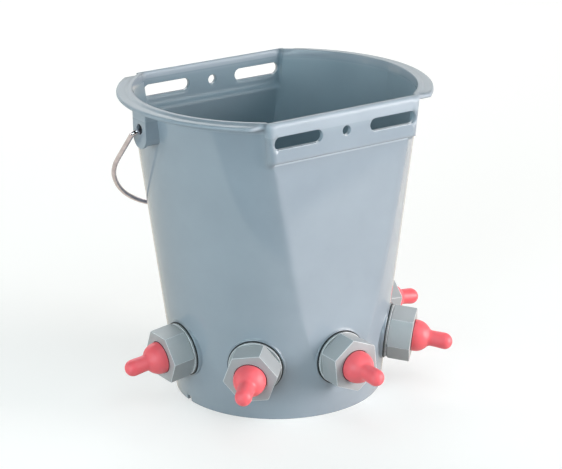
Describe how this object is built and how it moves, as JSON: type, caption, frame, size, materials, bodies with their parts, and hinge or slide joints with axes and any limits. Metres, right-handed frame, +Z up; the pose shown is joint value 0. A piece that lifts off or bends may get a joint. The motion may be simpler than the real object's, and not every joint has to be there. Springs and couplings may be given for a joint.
{
  "type": "multi teat lamb feeder",
  "caption": "Flat-sided plastic feeding bucket with a wire bail, slotted hanging bands and screw-on rubber teats with ball valves around its foot.",
  "frame": {"origin": "centre of the foot on the bucket's axis, at the height it stands on", "axes": "+Z up along the bucket's axis; -Y out of the front flat side, over the middle teat; +X to the right seen from the front, through the right ear"},
  "size_m": [0.2968, 0.2486, 0.26],
  "materials": {
    "bucket_plastic": "moulded, soft gloss",
    "fitting_plastic": "moulded, satin",
    "teat_rubber": "smooth moulded rubber",
    "seal_rubber": "smooth",
    "bail_steel": "bright zinc-plated wire",
    "ball_plastic": "smooth",
    "stop_plastic": "moulded, satin"
  },
  "bodies": {
    "bucket_body": {"bucket": "bucket_plastic", "teat_left": "teat_rubber", "teat_front_left": "teat_rubber", "teat_front": "teat_rubber", "teat_front_right": "teat_rubber", "teat_right": "teat_rubber", "cap_nut_left": "fitting_plastic", "cap_nut_front_left": "fitting_plastic", "cap_nut_front": "fitting_plastic", "cap_nut_front_right": "fitting_plastic", "cap_nut_right": "fitting_plastic", "lock_ring_left": "fitting_plastic", "lock_ring_front_left": "fitting_plastic", "lock_ring_front": "fitting_plastic", "lock_ring_front_right": "fitting_plastic", "lock_ring_right": "fitting_plastic", "outer_washer_left": "seal_rubber", "outer_washer_front_left": "seal_rubber", "outer_washer_front": "seal_rubber", "outer_washer_front_right": "seal_rubber", "outer_washer_right": "seal_rubber", "inner_washer_left": "seal_rubber", "inner_washer_front_left": "seal_rubber", "inner_washer_front": "seal_rubber", "inner_washer_front_right": "seal_rubber", "inner_washer_right": "seal_rubber", "valve_body_left": "fitting_plastic", "valve_body_front_left": "fitting_plastic", "valve_body_front": "fitting_plastic", "valve_body_front_right": "fitting_plastic", "valve_body_right": "fitting_plastic", "ball_stop_left": "stop_plastic", "ball_stop_front_left": "stop_plastic", "ball_stop_front": "stop_plastic", "ball_stop_front_right": "stop_plastic", "ball_stop_right": "stop_plastic"},
    "bail_body": {"bail": "bail_steel"},
    "ball_left": {"valve_ball_left": "ball_plastic"},
    "ball_front_left": {"valve_ball_front_left": "ball_plastic"},
    "ball_front": {"valve_ball_front": "ball_plastic"},
    "ball_front_right": {"valve_ball_front_right": "ball_plastic"},
    "ball_right": {"valve_ball_right": "ball_plastic"}
  },
  "joints": [
    {"name": "bail_swing", "type": "hinge", "parent": "bucket_body", "child": "bail_body", "pos_m": [0, 0, 0.2411], "axis": [1, 0, 0], "range_deg": [0, 273.2]},
    {"name": "ball_left_slide", "type": "slide", "parent": "bucket_body", "child": "ball_left", "axis": [-0.9926, 0, -0.1214], "range_m": [-0.0029, 0]},
    {"name": "ball_front_left_slide", "type": "slide", "parent": "bucket_body", "child": "ball_front_left", "axis": [-0.7019, -0.7019, -0.1214], "range_m": [-0.0029, 0]},
    {"name": "ball_front_slide", "type": "slide", "parent": "bucket_body", "child": "ball_front", "axis": [0, -0.9997, -0.0241], "range_m": [-0.0029, 0]},
    {"name": "ball_front_right_slide", "type": "slide", "parent": "bucket_body", "child": "ball_front_right", "axis": [0.7019, -0.7019, -0.1214], "range_m": [-0.0029, 0]},
    {"name": "ball_right_slide", "type": "slide", "parent": "bucket_body", "child": "ball_right", "axis": [0.9926, 0, -0.1214], "range_m": [-0.0029, 0]}
  ]
}
